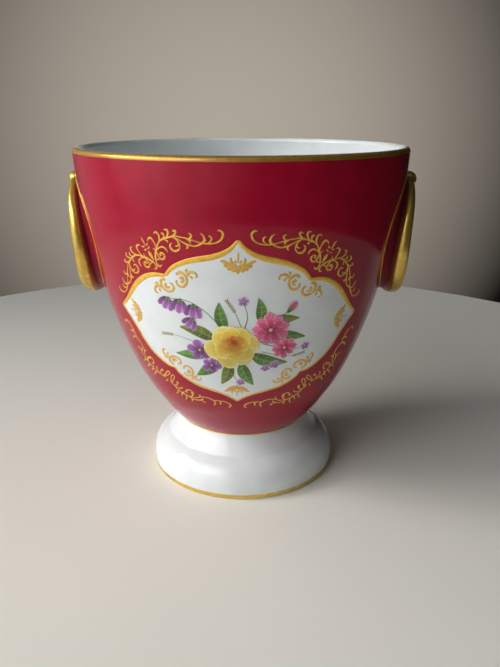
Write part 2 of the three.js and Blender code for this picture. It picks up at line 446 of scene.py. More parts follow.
def web_base(turn, lift):
    height = WEB_BASE_CENTRE_HEIGHT + WEB_BASE_HALF_HEIGHT * math.cos(turn)
    return round_bowl(wall_radius(height) + lift, WEB_BASE_HALF_WIDTH * math.sin(turn), height)


def web_point(u, v):
    """Across the web: up its outer side from the wall, under the ring, and down its inner side"""
    turn = mix(WEB_START, FULL_TURN - WEB_START, v)
    middle, off, away = ring_frame(turn)
    outer_foot = web_base(turn, -0.5)
    radius = ring_thickness(turn) / 2
    outer_top = middle + away * radius * 0.5 - off * radius * RING_INNER_DEPTH * 0.8
    inner_top = middle - away * radius * 0.5 - off * radius * RING_INNER_DEPTH * 0.75
    inner_foot = middle - off * (ring_standoff(turn) + 1.2) - away * 3
    if u < 0.5:
        share = u * 2
        bow = math.sin(math.pi * share)
        return outer_foot.lerp(outer_top, share) - (off + away * 0.6) * bow * 0.8
    if u < 0.6:
        return outer_top.lerp(inner_top, (u - 0.5) * 10)
    if u < 0.9:
        return inner_top.lerp(inner_foot, (u - 0.6) / 0.3)
    return inner_foot.lerp(outer_foot, (u - 0.9) * 10)


def handle(side, turned):
    half_turn = Matrix.Rotation(turned, 3, "Z")
    ring = bmesh.new()
    formed(ring, 20, 120, lambda u, v: half_turn @ ring_point(FULL_TURN * v, -FULL_TURN * u))
    # Faces on the ring's side towards the wall get the gold with painted shade and a painted reflection of the red web
    flat_map = ring.loops.layers.uv.verify()
    for face in ring.faces:
        round_the_ring = sum(corner[flat_map].uv.x for corner in face.loops) / len(face.loops)
        if RING_SHADE_FROM < round_the_ring < 1 - RING_SHADE_FROM:
            face.material_index = 1
    finished(side + "_gilt_ring", ring, [bright_gold, ring_shade_gold], "gilding", side + "_handle_ring")

    # The web is glazed in the darker red that is painted shade
    web = bmesh.new()
    formed(web, 20, 96, lambda u, v: half_turn @ web_point(u, v))
    bmesh.ops.holes_fill(web, edges=[edge for edge in web.edges if edge.is_boundary], sides=0)
    finished(side + "_ring_web", web, [web_shade_crimson], "crimson_glaze", side + "_handle_web")

    line = bmesh.new()

    def line_point(u, v):
        turn = mix(WEB_START, FULL_TURN - WEB_START, v)
        angle = FULL_TURN * u
        foot_of_web = web_base(turn, 0)
        _, off, away = ring_frame(turn)
        return half_turn @ (foot_of_web + away * 0.36 * math.cos(angle) + off * 0.26 * math.sin(angle))

    formed(line, 8, 120, line_point)
    bmesh.ops.holes_fill(line, edges=[edge for edge in line.edges if edge.is_boundary], sides=0)
    finished(side + "_web_gold_line", line, [painted_gold], "gilding")

    knob = bmesh.new()
    height = RING_CENTRE_HEIGHT + RING_HALF_HEIGHT
    centre = half_turn @ Vector((wall_radius(height) + KNOB_STANDOFF, 0, height))
    bmesh.ops.create_uvsphere(knob, u_segments=40, v_segments=24, radius=KNOB_RADIUS)
    bmesh.ops.translate(knob, vec=centre, verts=knob.verts)
    finished(side + "_gilt_knob", knob, [bright_gold], "gilding", side + "_handle_knob")


bowl()
foot()
neck_line()
handle("right", 0)
handle("left", math.pi)


# Painted design, drawn in plan millimetres with the panel's middle at 0, 0

def smooth_path(points, cell=0.3):
    """Evenly spaced points on a smooth line through the given ones"""
    points = [Vector(p) for p in points]
    ends = [points[0] * 2 - points[1]] + points + [points[-1] * 2 - points[-2]]
    path = []
    for a, b, c, d in zip(ends, ends[1:], ends[2:], ends[3:]):
        count = max(2, math.ceil((c - b).length / cell))
        for step in range(count):
            t = step / count
            path.append(0.5 * (2 * b + (c - a) * t + (2 * a - 5 * b + 4 * c - d) * t**2 + (3 * b - a - 3 * c + d) * t**3))
    return path + [points[-1]]


def stroke(work, points, place, rise=0.12, sides=8, shade=None, lift=0, cell=0.3):
    """A painted line through points of x, y and width, with round ends, raised a little off the wall"""
    path = smooth_path(points, cell)
    lengths = [0]
    for a, b in zip(path, path[1:]):
        lengths.append(lengths[-1] + (b.xy - a.xy).length)
    last = len(path) - 1

    def shape(u, v):
        i = round(v * last)
        here = path[i]
        tangent = (path[min(i + 1, last)].xy - path[max(i - 1, 0)].xy).normalized()
        half = max(here.z / 2, 0.05)
        near_end = min(lengths[i], lengths[-1] - lengths[i])
        if near_end < half:
            half *= math.sqrt(1 - (1 - near_end / half) ** 2)
        angle = -FULL_TURN * u
        across = half * math.cos(angle)
        return place(here.x - tangent.y * across, here.y + tangent.x * across, lift + rise * math.sin(angle))

    formed(work, sides, last, shape, shade)


def askew(place):
    """The panel and all in it were laid on a little askew"""

    def tilted(x, y, lift):
        turned = Matrix.Rotation(PANEL_TILT, 2) @ Vector((x, y - PANEL_MIDDLE.y))
        return place(turned.x + PANEL_MIDDLE.x, turned.y + PANEL_MIDDLE.y, lift)

    return tilted


PANEL_TILT = math.radians(-1.4)
PANEL_MIDDLE = Vector((-0.3, -7))
# Right half of the panel's outline, from its top to its bottom. Its four arcs meet in points.
PANEL_ARCS = (
    ((0, 36.2), (2.6, 33.1), (5.8, 30.9), (10, 29.3), (15, 28.2), (20, 26.7), (25.4, 23.9), (29.1, 20)),
    ((29.1, 20), (34, 19.8), (39, 18.2), (44, 14.8), (49, 9.9), (54, 4.8), (60, 0.2)),
    ((60, 0.2), (56, -5), (53, -10.2), (50.4, -16.2), (46.9, -21.8), (41.4, -27), (37.4, -29.2), (33.9, -29.8)),
    ((33.9, -29.8), (31.9, -33.3), (27.5, -37), (22, -40.1), (15.5, -42.3), (9, -44.6), (4, -47.5), (0, -51)),
)


def panel_outline():
    right = []
    for arc in PANEL_ARCS:
        right += [p.xy for p in smooth_path([(x, y, 0) for x, y in arc], 1.0)][:-1]
    left = [Vector((-p.x, p.y)) for p in right[1:]]
    return right + [Vector((0, PANEL_ARCS[-1][-1][1]))] + left[::-1]


def film(work, outline, place, lift, depth, cell=2.5):
    """A thin flat skin inside an outline, cut into cells so that it follows the wall"""
    face = work.faces.new([work.verts.new((p.x, p.y, 0)) for p in outline])
    bmesh.ops.triangulate(work, faces=[face])
    for axis in (0, 1):
        low = min(point.co[axis] for point in work.verts)
        high = max(point.co[axis] for point in work.verts)
        normal = (1, 0, 0) if axis == 0 else (0, 1, 0)
        for step in range(1, int((high - low) / cell) + 1):
            at = Vector(normal) * (low + step * cell)
            bmesh.ops.bisect_plane(
                work, geom=work.verts[:] + work.edges[:] + work.faces[:], plane_co=at, plane_no=normal
            )
    bottom = bmesh.ops.extrude_face_region(work, geom=work.faces[:])["geom"]
    sunk = {item for item in bottom if isinstance(item, bmesh.types.BMVert)}
    for point in work.verts:
        point.co = place(point.co.x, point.co.y, lift - depth if point in sunk else lift)


def panel(side, place):
    work = bmesh.new()
    film(work, panel_outline(), place, 0.05, 0.3)
    finished(side + "_white_panel", work, [white], "white_glaze")


ARC_WIDTHS = ((1.1, 2.4, 1.5), (1.5, 2.4, 1.2), (1.1, 1.7, 1.2), (1.2, 1.7, 1.2))


def panel_gold(side, place):
    """Gold line round the panel, widest in the middle of each arc"""
    work = bmesh.new()
    for arc, (start, middle, end) in zip(PANEL_ARCS, ARC_WIDTHS):
        last = len(arc) - 1
        for flip in (1, -1):
            points = []
            for i, (x, y) in enumerate(arc):
                share = i / last
                swell = math.sin(math.pi * share)
                width = mix(mix(start, end, share), middle, swell)
                points.append((x * flip, y, width))
            stroke(work, points, place, rise=0.16, sides=10)
    finished(side + "_panel_gold_outline", work, [painted_gold], "gilding")


# One half of the gold scroll over the panel's upper left side, as points of x, y and width.
# The other half is its mirror image across the line through SCROLL_MIDDLE.
SCROLL_MIDDLE = Vector((-35.2, 31))
SCROLL_AXIS = Vector((-0.48, 0.877))
SCROLL_HALF = (
    # stem, and the upper branch to the long hook
    ((-32, 26.5, 0.4), (-31.6, 29.5, 1), (-30.9, 31.3, 1), (-30, 33.4, 0.6), (-28.9, 34.7, 0.7), (-27.1, 35.8, 1),
     (-25.3, 36.3, 0.6), (-23.5, 36.9, 1)),
    ((-23.7, 36.8, 0.9), (-22.1, 37.1, 0.5), (-20.3, 36.8, 0.5), (-18.5, 36.6, 0.5), (-17.2, 36.1, 0.9),
     (-15.5, 35.8, 0.45), (-13.5, 35.2, 0.45), (-12.1, 34.9, 0.6), (-9.8, 34.8, 0.6), (-8.2, 35, 0.5),
     (-6.6, 35.5, 0.5), (-5.3, 36.5, 0.75), (-4.7, 37.7, 0.95), (-4.6, 38.8, 1), (-5.1, 39.5, 0.9),
     (-5.9, 39.9, 0.6), (-6.5, 39.6, 0.3)),
    # lower branch to the tall horn
    ((-23.7, 36.8, 0.8), (-21.7, 36.1, 0.5), (-20, 35.2, 0.5), (-18.2, 34.3, 0.8), (-16.4, 33.8, 0.6),
     (-15, 33.7, 0.6), (-13.5, 34.2, 0.7), (-12.3, 34.9, 0.8), (-11.3, 35.9, 1.1), (-11.3, 36.8, 1),
     (-11.7, 37.8, 0.7), (-12.8, 38.8, 0.2)),
    ((-10.3, 35, 0.3), (-9.2, 35.7, 0.6), (-8.7, 36.5, 0.8), (-8.9, 37.3, 0.75), (-9.4, 37.7, 0.5), (-9.9, 37.6, 0.25)),
    ((-17.4, 36.3, 0.5), (-16.5, 36.8, 0.75), (-16, 37.5, 0.8), (-16.4, 38.2, 0.6), (-17.2, 38.5, 0.2)),
    ((-17.4, 36.1, 0.6), (-16.8, 35.4, 0.7), (-16.6, 34.5, 0.2)),
    ((-18.6, 34.6, 0.3), (-18, 33.8, 0.6), (-17.8, 33.1, 0.8), (-18.5, 32.7, 0.85)),
    # open curl under the branch
    ((-22.9, 36.5, 0.4), (-21.6, 35.4, 0.6), (-20.9, 34.2, 0.6), (-21, 32.7, 0.6), (-21.8, 31.7, 0.7),
     (-23.1, 31.3, 0.9), (-24.2, 31.8, 1.05), (-24.8, 32.9, 0.95), (-24.6, 33.8, 0.7), (-23.8, 34.4, 0.25)),
    ((-21.6, 35.1, 0.3), (-21.3, 34.2, 0.6), (-21.7, 33.45, 0.7), (-22.8, 33.3, 0.35)),
    # horns that stand up from the stem
    ((-23.7, 36.75, 0.6), (-22.7, 37.55, 0.7), (-22, 38.4, 0.8), (-22.2, 39.1, 0.95), (-23.3, 38.8, 0.4)),
    ((-26.2, 35.9, 0.5), (-25.4, 37.1, 0.7), (-25, 38.4, 0.9), (-25.5, 39.25, 0.8), (-26.7, 39.2, 0.25)),
    ((-27.1, 35.8, 0.5), (-26.9, 36.7, 0.7), (-27, 37.5, 0.9), (-27.5, 37.8, 0.7), (-28, 37.5, 0.3)),
    ((-29.4, 34.3, 0.4), (-29, 35.6, 0.7), (-29, 36.8, 0.8), (-29.5, 37.7, 0.8), (-30.3, 38, 0.7), (-31.2, 37.3, 0.25)),
    ((-30.8, 31.3, 0.5), (-31.1, 32.9, 0.6), (-31.7, 34.3, 0.7), (-32.5, 35.4, 0.9), (-33.4, 35.5, 0.8),
     (-34.2, 34.8, 0.6), (-34.4, 34.1, 0.25)),
    # curls on the panel's side of the stem
    ((-26.8, 35.4, 0.4), (-25.8, 35.1, 0.7), (-25.6, 34.4, 0.95)),
    ((-30.7, 31.1, 0.5), (-29.8, 31.9, 0.6), (-28.5, 32.5, 0.7), (-27.5, 32.4, 0.8), (-26.6, 31.6, 0.7), (-26.2, 30.5, 0.2)),
    ((-30.9, 30.4, 0.5), (-30.6, 29, 0.6), (-30, 27.9, 0.7), (-28.9, 27.5, 0.8), (-28, 28.1, 0.85), (-27.7, 29.1, 0.85),
     (-28.4, 30, 0.8), (-29.3, 30, 0.8), (-29.6, 29.3, 0.9), (-28.9, 28.95, 1.2)),
    ((-31.2, 30.4, 0.5), (-31.7, 31.1, 0.5), (-32.4, 31.7, 0.4)),
    ((-31.6, 29.5, 0.7), (-32, 27.9, 0.6), (-32, 26.5, 0.6), (-31.6, 25.3, 0.7), (-30.8, 24.5, 0.85), (-30, 24.7, 0.7),
     (-29.6, 25.5, 0.25)),
    ((-31.8, 26.7, 0.4), (-30.9, 27.4, 0.6), (-30.2, 27.1, 0.3)),
    # half of the bud and half of the small finial on the middle line
    ((-34.9, 30.3, 0.3), (-33.9, 29.3, 0.8), (-33.4, 28.2, 0.75), (-33, 26.6, 0.25)),
    ((-35.5, 32.4, 0.5), (-34.9, 32.8, 0.7), (-34.6, 33.6, 0.3)),
    ((-35.1, 31.2, 0.5), (-34.4, 31.5, 0.7), (-33.9, 32.2, 0.3)),
)
SCROLL_SPEAR = ((-35.7, 32.3, 0.4), (-36.5, 33.9, 0.8), (-37.2, 35.5, 0.2))


# One half of the longer scroll that runs under the panel, drawn at the panel's lower left side
LOWER_MIDDLE = Vector((-41.3, -37))
LOWER_AXIS = Vector((-0.645, -0.765))
LOWER_FAR_SHARE = 0.9
LOWER_HALF = (
    # stem from the middle, ending in an open curl
    ((-43.2, -41.6, 0.5), (-42, -43.2, 0.9), (-40.6, -45, 0.9), (-39.7, -47.2, 0.9), (-38, -49, 0.9), (-35.6, -50.5, 1),
     (-33, -52, 1.1), (-31, -52, 1.1), (-29.6, -50.4, 1.1), (-28.5, -48.4, 1), (-28.5, -46.8, 0.9), (-29.6, -45.7, 0.8),
     (-31.3, -45.7, 0.9), (-32.7, -46.7, 1.1), (-33.1, -47.9, 1.1), (-32.6, -48.9, 0.5)),
    ((-29, -46.3, 0.5), (-29.2, -47.6, 0.8), (-30.2, -48.7, 0.5)),
    # loop beside the middle, and the curl with a ball next to it
    ((-42.9, -42.4, 0.5), (-41.6, -40.9, 0.8), (-41.1, -39, 0.8), (-40.1, -36.9, 0.8), (-38.8, -35.6, 0.9), (-37.9, -36, 0.9),
     (-38.1, -37.4, 0.8), (-39.2, -39, 0.7), (-40.6, -41, 0.7), (-42.4, -43.4, 0.5)),
    ((-41, -44.6, 0.5), (-40, -44.4, 0.7), (-38.7, -43.8, 0.8), (-37.8, -42.8, 0.9)),
    ((-37.8, -42.6, 0.8), (-37.5, -41.8, 1.9), (-37.1, -41, 1.9), (-36.9, -40.4, 0.8)),
    ((-39.9, -45.6, 0.5), (-38.4, -46.1, 0.8), (-36.6, -46, 0.9), (-35.4, -45.3, 0.8), (-34.8, -44.2, 0.3)),
    # leaves outside the stem
    ((-39.6, -48, 0.5), (-39.9, -49.8, 0.9), (-41, -51.4, 1), (-42.6, -52.4, 0.3)),
    ((-37.4, -49.6, 0.5), (-37.3, -50.8, 0.9), (-37.9, -52.2, 1), (-38.9, -53.3, 0.3)),
    ((-34.8, -51.4, 0.5), (-34.7, -53, 0.9), (-35.3, -54.9, 1), (-36.9, -56.5, 0.3)),
    ((-31.2, -52.6, 0.5), (-30.9, -54, 0.9), (-31.2, -55.6, 1), (-32.1, -57, 0.3)),
    ((-37.2, -49.9, 0.5), (-35.7, -49.3, 0.8), (-34.5, -48, 0.3)),
    # branch with its horns
    ((-32, -53.2, 0.5), (-29.8, -54, 0.8), (-27.4, -54.2, 0.8), (-25, -53.6, 0.9), (-23.4, -52.7, 1), (-22.6, -51.2, 0.3)),
    ((-25, -53.8, 0.4), (-23.6, -54.1, 0.7), (-22.9, -54.6, 1), (-22.4, -55.4, 1.5), (-22.2, -56, 0.9)),
    ((-30, -52.4, 0.5), (-27.6, -52, 0.7), (-25.6, -51.1, 0.8), (-24.4, -50, 0.9), (-24.1, -48.6, 0.9), (-24.1, -47.8, 0.3)),
    ((-25.4, -51, 0.5), (-23.4, -50.2, 0.8), (-21, -49.9, 0.8), (-18.8, -50.3, 0.9), (-17, -51.2, 1), (-15.6, -52.6, 1.1),
     (-15.2, -54.3, 1.1), (-15.8, -56, 1), (-16.9, -57.4, 0.4)),
    # small horn and last hook
    ((-17, -51.6, 0.4), (-15, -52, 0.6), (-13.4, -51.7, 0.8), (-12.1, -52.4, 1), (-11.6, -53.7, 1.1), (-11.9, -54.9, 0.9),
     (-12.6, -55.6, 0.4)),
    ((-13.2, -51.9, 0.4), (-11.3, -51.9, 0.7), (-9.6, -52.2, 0.8), (-8, -52.9, 0.9), (-6.7, -53.9, 1), (-5.7, -55.2, 1.1),
     (-5.6, -56.5, 1.1), (-6.2, -57.5, 1), (-7.3, -58, 0.5)),
)
LOWER_SPEAR = ((-44.4, -40.7, 0.5), (-45.6, -42.1, 1), (-46.8, -43.5, 0.3))


UPPER_DRAWING = (SCROLL_HALF, SCROLL_SPEAR, SCROLL_MIDDLE, SCROLL_AXIS)
LOWER_DRAWING = (LOWER_HALF, LOWER_SPEAR, LOWER_MIDDLE, LOWER_AXIS)


# Share of the drawn width that the gold lines keep
SCROLL_LINE = 0.88


def gold_scroll(name, place, drawing, middle, outward, shares=(1, 1)):
    """A drawn half and its mirror image, laid at a point of the plan so that the scroll faces outward"""
    half, spear, own_middle, own_axis = drawing
    own_along = Vector((own_axis.y, -own_axis.x))
    outward = Vector(outward).normalized()
    along = Vector((outward.y, -outward.x))
    work = bmesh.new()
    for points, ways in [(points, (1, -1)) for points in half] + [(spear, (1,))]:
        for way in ways:
            length = shares[0] if way == 1 else shares[1]
            laid = []
            for x, y, width in points:
                away = Vector((x, y)) - own_middle
                at = Vector(middle) + along * away.dot(own_along) * way * length + outward * away.dot(own_axis)
                laid.append((at.x, at.y, width * SCROLL_LINE))
            stroke(work, laid, place)
    finished(name, work, [painted_gold], "gilding")


# Gold ornaments inside the panel. The palmette points up; its right half is mirrored.
PALMETTE_SPEAR = ((0, 5.6, 0.4), (0, 4.2, 1), (0, 2.6, 0.8), (0, 0.8, 0.6))
PALMETTE_HALF = (
    ((0.9, -0.2, 0.9), (2, 0.2, 1.3), (2.9, 1.1, 1.3), (3.1, 2.4, 1), (2.5, 3.2, 0.5)),
    ((0.5, 0.6, 0.8), (1.2, 1.4, 1), (1.2, 2.3, 0.5)),
    ((0, -0.9, 1.2), (2, -0.8, 1.6), (4, -0.1, 1.7), (5.7, 1, 1.6), (7, 1.4, 1.3), (7.7, 1.1, 0.7)),
    ((3.6, -1, 1.2), (5, -0.9, 1.5), (6.3, -0.5, 1.1)),
    ((2.2, -1.6, 1.3), (3.6, -2.2, 1.5), (4.8, -2.3, 0.9)),
    ((0.8, -1.6, 1.3), (1.8, -2.8, 1.5), (2.9, -3.4, 0.8)),
    ((0, -1.4, 1.2), (0.3, -3, 1.3), (0, -4.6, 0.5)),
)
PALMETTES = {
    "top": ((0, 27), 0, 0.86), "left": ((-49.6, -0.6), 90, 0.84), "right": ((49.6, -0.6), -90, 0.84),
    "bottom": ((0, -41), 180, 0.92),
}
# Right half of the scroll pair in each notch: along the outline, outwards, and width
NOTCH_CURLS = (
    ((2.8, -1.3, 1), (3.9, -0.7, 1.5), (5.3, -1, 1.6), (6.1, -2.3, 1.4), (6.2, -3.9, 1.3), (5.4, -5.4, 1.4), (4, -6.4, 1.4),
     (2.4, -6.4, 1.4), (1.3, -5.4, 1.3), (1.2, -3.9, 1.2), (2, -3, 0.8)),
    ((3.2, -3, 0.9), (4.2, -3, 1.7), (4.4, -4, 1.7), (3.5, -4.7, 1), (2.8, -4.2, 0.6)),
    ((6.4, -3.3, 0.9), (7.4, -2.7, 1.4), (8.5, -2.3, 1.5), (9.8, -2.6, 1.3), (10.7, -3.6, 1.2), (10.5, -4.8, 1), (9.6, -5.2, 0.5)),
    ((7.2, -2, 0.8), (7.7, -1, 1.3), (8.7, -0.7, 0.6)),
    ((7.6, -3.4, 0.8), (8.3, -4.3, 1.3), (8.1, -5.2, 0.6)),
)
NOTCH_PAIRS = {
    "upper_left": ((-27.3, 20.8), (-0.45, 0.893), 1),
    "upper_right": ((27.3, 20.8), (0.45, 0.893), 1),
    "lower_left": ((-32.3, -30.9), (-0.65, -0.76), 1.15),
    "lower_right": ((32.3, -30.9), (0.65, -0.76), 1.15),
}


def inner_gold(side, place):
    """Palmettes in the panel's points and scroll pairs in its notches"""
    work = bmesh.new()

    def draw(points, middle, turn, size, flip=1):
        laid = []
        for x, y, width in points:
            at = Matrix.Rotation(turn, 2) @ Vector((x * flip * size, y * size))
            laid.append((at.x + middle[0], at.y + middle[1], width * size))
        stroke(work, laid, place, rise=0.06, lift=0.05)

    for middle, turn, size in PALMETTES.values():
        draw(PALMETTE_SPEAR, middle, math.radians(turn), size)
        for points in PALMETTE_HALF:
            draw(points, middle, math.radians(turn), size)
            draw(points, middle, math.radians(turn), size, -1)
    for middle, outward, size in NOTCH_PAIRS.values():
        turn = math.atan2(outward[1], outward[0]) - math.pi / 2
        for curl in NOTCH_CURLS:
            points = [(x, y, width * 0.85) for x, y, width in curl]
            draw(points, middle, turn, size)
            draw(points, middle, turn, size, -1)
    finished(side + "_inner_gold_ornaments", work, [thin_gold], "gilding")


# Painted spray of garden flowers: a yellow rose with pinks, violets and bellflowers

YELLOWS = (
    ("C09C36", "E2D064", "F4EFBC"), ("B88E2C", "E3CC56", "F3E9A2"), ("B47C22", "E0BC42", "EFDD80"),
    ("A8621C", "DDA030", "EBCB64"), ("9A4616", "D07C26", "E8B650"),
)
PINKS = (("B42A60", "DD7299", "F6CBD8"), ("A31C50", "D3517F", "EFA8C0"), ("8C1240", "C0386C", "E684A6"))
PURPLES = ("66306F", "9C62A8", "D3ADD6")
LILACS = ("8A5CA4", "B58CC4", "DFCBE6")
GREENS = ("38602E", "67953F", "A6C170")
OLIVES = ("4A5A26", "7A8C3E", "A8B070")
LIGHT_FROM = Vector((-0.5, 0.86))
SPRAY_SIZE = 0.93
SPRAY_DROP = -1.5


class Spray:
    """Brush strokes laid over each other, each a little higher than the one before"""

    def __init__(self, side, place):
        self.side = side
        self.place = place
        self.height = 0.06
        self.start()

    def start(self):
        self.work = bmesh.new()
        self.work.verts.layers.float_color.new("paint")

    def done(self, name):
        finished(f"{self.side}_painted_{name}", self.work, [enamels], "white_glaze", smooth=False)
        self.start()

    def brush(self, points, root_shade, tip_shade, edge_shade=None, edge=0.6, tone=1.0, fine=True):
        """One stroke whose colour runs from root to tip, and turns to the edge colour at both sides"""
        root, tip = Vector(colour(root_shade)) * tone, Vector(colour(tip_shade)) * tone
        rim = Vector(colour(edge_shade)) * tone if edge_shade else tip

        def shade(u, v):
            body = root.lerp(tip, v**1.2)
            return body.lerp(rim, edge * abs(math.cos(FULL_TURN * u)) ** 4 * min(1, v * 1.6))

        rise, sides, cell = (0.02, 6, 0.8) if fine else (0.012, 16, 0.55)
        stroke(self.work, points, self.place, rise=rise, sides=sides, shade=shade, lift=self.height, cell=cell)
        self.height += 0.0005

    def petal(self, root, tip, width, shades, bend=0, belly=0.62, heel=0.35, hairs=5, tone=1.0):
        """A rounded petal from root to tip: one soft body, then the hairs of the brush fanned over it"""
        root, tip = Vector(root), Vector(tip)
        left = (tip - root).normalized().orthogonal()
        points = []
        for share in (0, 0.2, 0.45, 0.7, 0.88, 1):
            at = root.lerp(tip, share) + left * bend * math.sin(math.pi * share)
            swell = mix(heel, 1, math.sin(math.pi / 2 * min(1, share / belly)))
            points.append((at.x, at.y, width * swell))
        dark, middle, light = shades
        self.brush(points, dark, middle, light, edge=0.85, tone=tone, fine=width < 1.2)
        for i in range(hairs):
            across = (i + 0.5) / hairs * 2 - 1
            uneven = math.sin(7.3 * i + 11 * width + 3 * tip.x)
            hair = []
            for share, spread in ((0.08, 0.12), (0.42, 0.26), (0.74 - 0.1 * across**2 + 0.1 * uneven, 0.36)):
                at = root.lerp(tip, share) + left * (bend * math.sin(math.pi * share) + width * spread * across)
                hair.append((at.x, at.y, width / hairs * mix(0.5, 0.3, share)))
            self.brush(hair, dark, middle, tone=tone * (1 + 0.06 * uneven))

    def leaf(self, root, tip, width, bend=0, shades=GREENS, tone=1.0):
        """A pointed leaf: a dark half and a lighter half, brushed outwards from the midrib"""
        root, tip = Vector(root), Vector(tip)
        along = (tip - root).normalized()
        left = along.orthogonal()
        shares = (0, 0.12, 0.3, 0.5, 0.7, 0.88, 1)
        spread = (0.08, 0.5, 0.95, 1, 0.75, 0.35, 0.05)
        ribs = [root.lerp(tip, share) + left * bend * math.sin(math.pi * share) for share in shares]
        dark, middle, light = shades
        for side, gain in ((1, 0.8), (-1, 1.15)):
            half = []
            for rib, swell in zip(ribs, spread):
                at = rib + left * side * width * swell / 4
                half.append((at.x, at.y, max(0.12, width * swell / 2 + 0.15)))
            self.brush(half, dark, middle, light, edge=0.55, tone=gain * tone, fine=False)
            for i in range(9):
                share = (i + 0.6) / 9.5
                rib = root.lerp(tip, share) + left * bend * math.sin(math.pi * share)
                swell = math.sin(math.pi * min(1, share * 1.08) ** 0.8)
                out = rib + (along * 0.55 + left * side) * width * 0.42 * swell
                between = (rib + out) / 2 + along * width * 0.05
                hair = [(rib.x, rib.y, 0.35), (between.x, between.y, 0.5), (out.x, out.y, 0.3)]
                self.brush(hair, *((middle, light) if i % 2 else (dark, middle)), tone=gain * tone)
        self.line([tuple(rib) for rib in ribs], 0.3, light, middle)

    def line(self, points, width, shade, tip_shade=None):
        last = len(points) - 1
        tapered = [(x, y, width * mix(1, 0.55, i / last)) for i, (x, y) in enumerate(points)]
        self.brush(tapered, shade, tip_shade or shade)

    def dot(self, at, size, shade, rim=None):
        x, y = at
        self.brush([(x - size / 2, y, size), (x, y, size), (x + size / 2, y, size)], shade, shade, rim)

    def lit(self, out):
        """How light a petal is painted that points this way"""
        return 1 + 0.22 * Vector(out).dot(LIGHT_FROM)

    def rose(self, middle, radius, turn=0):
        """A full rose seen a little from above, deeper and warmer towards its heart"""
        middle = Vector(middle)
        rings = ((6, 0.3, 1.0, 1.1), (6, 0.2, 0.8, 0.92), (5, 0.12, 0.61, 0.78), (4, 0.06, 0.42, 0.58), (3, 0.0, 0.25, 0.38))
        self.dot(middle + Vector((0.02, 0.1)) * radius, radius * 0.8, "C07A22", "D89A34")
        for ring, (count, near, far, width) in enumerate(rings):
            lift = Vector((0.015, 0.06)) * radius * ring
            for i in range(count):
                angle = turn + FULL_TURN * (i + 0.37 * ring) / count + 0.2 * math.sin(3 * i + ring)
                out = Vector((math.cos(angle), math.sin(angle) * 0.9))
                reach = far * (1 + 0.09 * math.sin(5 * i + 2 * ring))
                self.petal(
                    middle + lift + out * radius * near, middle + lift + out * radius * reach,
                    radius * width * (1 + 0.1 * math.sin(4 * i + ring)), YELLOWS[ring],
                    bend=radius * 0.08 * math.sin(2 * i + ring), belly=0.7, heel=0.5, hairs=5, tone=self.lit(out),
                )
        heart = middle + Vector((0.06, 0.26)) * radius
        for i in range(8):
            angle = FULL_TURN * i / 8
            reach = radius * (0.09 if i % 2 else 0.06)
            self.dot(heart + Vector((math.cos(angle), math.sin(angle))) * reach, 0.7, "8A3A18", "B05A22")

    def pink(self, middle, radius, turn, count=9):
        """A pink: toothed petals in three layers round a pale eye"""
        middle = Vector(middle)
        for layer, size in enumerate((1.0, 0.72, 0.44)):
            petals = count - 2 * layer
            for i in range(petals):
                angle = turn + FULL_TURN * (i + 0.5 * layer) / petals
                for tooth, reach in ((-0.17, 0.93), (0.17, 0.96), (0, 1.04)):
                    out = Vector((math.cos(angle + tooth), math.sin(angle + tooth)))
                    tip = middle + out * radius * size * reach * (1 + 0.07 * math.sin(4 * i + layer))
                    self.petal(middle + out * radius * 0.1, tip, radius * 0.3 * mix(1, 0.8, layer / 2), PINKS[layer],
                               bend=0.15 * math.sin(i), hairs=2, tone=self.lit(out))
        for i in range(5):
            angle = FULL_TURN * i / 5
            self.dot(middle + Vector((math.cos(angle), math.sin(angle))) * radius * 0.07, 0.6, "F2E4A8", "E0B860")

    def bell(self, top, angle, size, shades=PURPLES):
        """A bellflower hanging from its stem in the direction of the angle"""
        top = Vector(top)
        down = Vector((math.cos(angle), math.sin(angle)))
        side = down.orthogonal()
        mouth = top + down * size
        for way, tone in ((1, 1.1), (-1, 0.75)):
            self.petal(top + side * way * size * 0.12, mouth + side * way * size * 0.5, size * 0.44, shades,
                       bend=way * size * 0.1, heel=0.5, hairs=4, tone=tone)
        self.petal(top, mouth + down * size * 0.1, size * 0.54, shades, heel=0.55, hairs=5, tone=1.25)
        for way in (1, -1):
            self.petal(top - down * size * 0.14, top + down * size * 0.24 + side * way * size * 0.16, size * 0.2,
                       GREENS, hairs=2)

    def star(self, middle, radius, turn, shades=LILACS, hairs=2):
        """An open five-petalled flower with a yellow eye"""
        middle = Vector(middle)
        for i in range(5):
            angle = turn + FULL_TURN * i / 5
            out = Vector((math.cos(angle), math.sin(angle)))
            reach = radius * (1 + 0.08 * math.sin(3 * i + turn))
            self.petal(middle + out * radius * 0.1, middle + out * reach, radius * 0.86, shades, belly=0.8,
                       hairs=hairs, tone=self.lit(out))
        self.dot(middle, max(0.8, radius * 0.22), "EDCB50", "C88A28")

    def bud(self, root, tip, width):
        """A pink bud in its green calyx"""
        root, tip = Vector(root), Vector(tip)
        self.petal(root.lerp(tip, 0.25), tip, width, PINKS[0], belly=0.5, hairs=4)
        self.petal(root.lerp(tip, 0.3), tip + (tip - root) * 0.08, width * 0.5, PINKS[1], bend=0.15, hairs=2)
        left = (tip - root).normalized().orthogonal() * width * 0.25
        for side in (-1, 1, 0):
            self.petal(root, root.lerp(tip, 0.62) + left * side, width * 0.42, GREENS, hairs=2)

    def grass(self, points, seeds, size):
        """A thin stalk with pairs of small seeds towards its tip"""
        self.line(points, 0.4, "6E6A3E", "9A9468")
        path = smooth_path([(x, y, 0) for x, y in points], size)
        for at, after in list(zip(path, path[1:]))[-seeds:]:
            along = (after - at).xy.normalized()
            for way in (1, -1):
                end = at.xy + (along * 1.3 + along.orthogonal() * way * 0.75) * size
                self.brush([(at.x, at.y, 0.25), (*((at.xy + end) / 2), 0.5), (end.x, end.y, 0.25)], "6E6A3E", "B0A878")


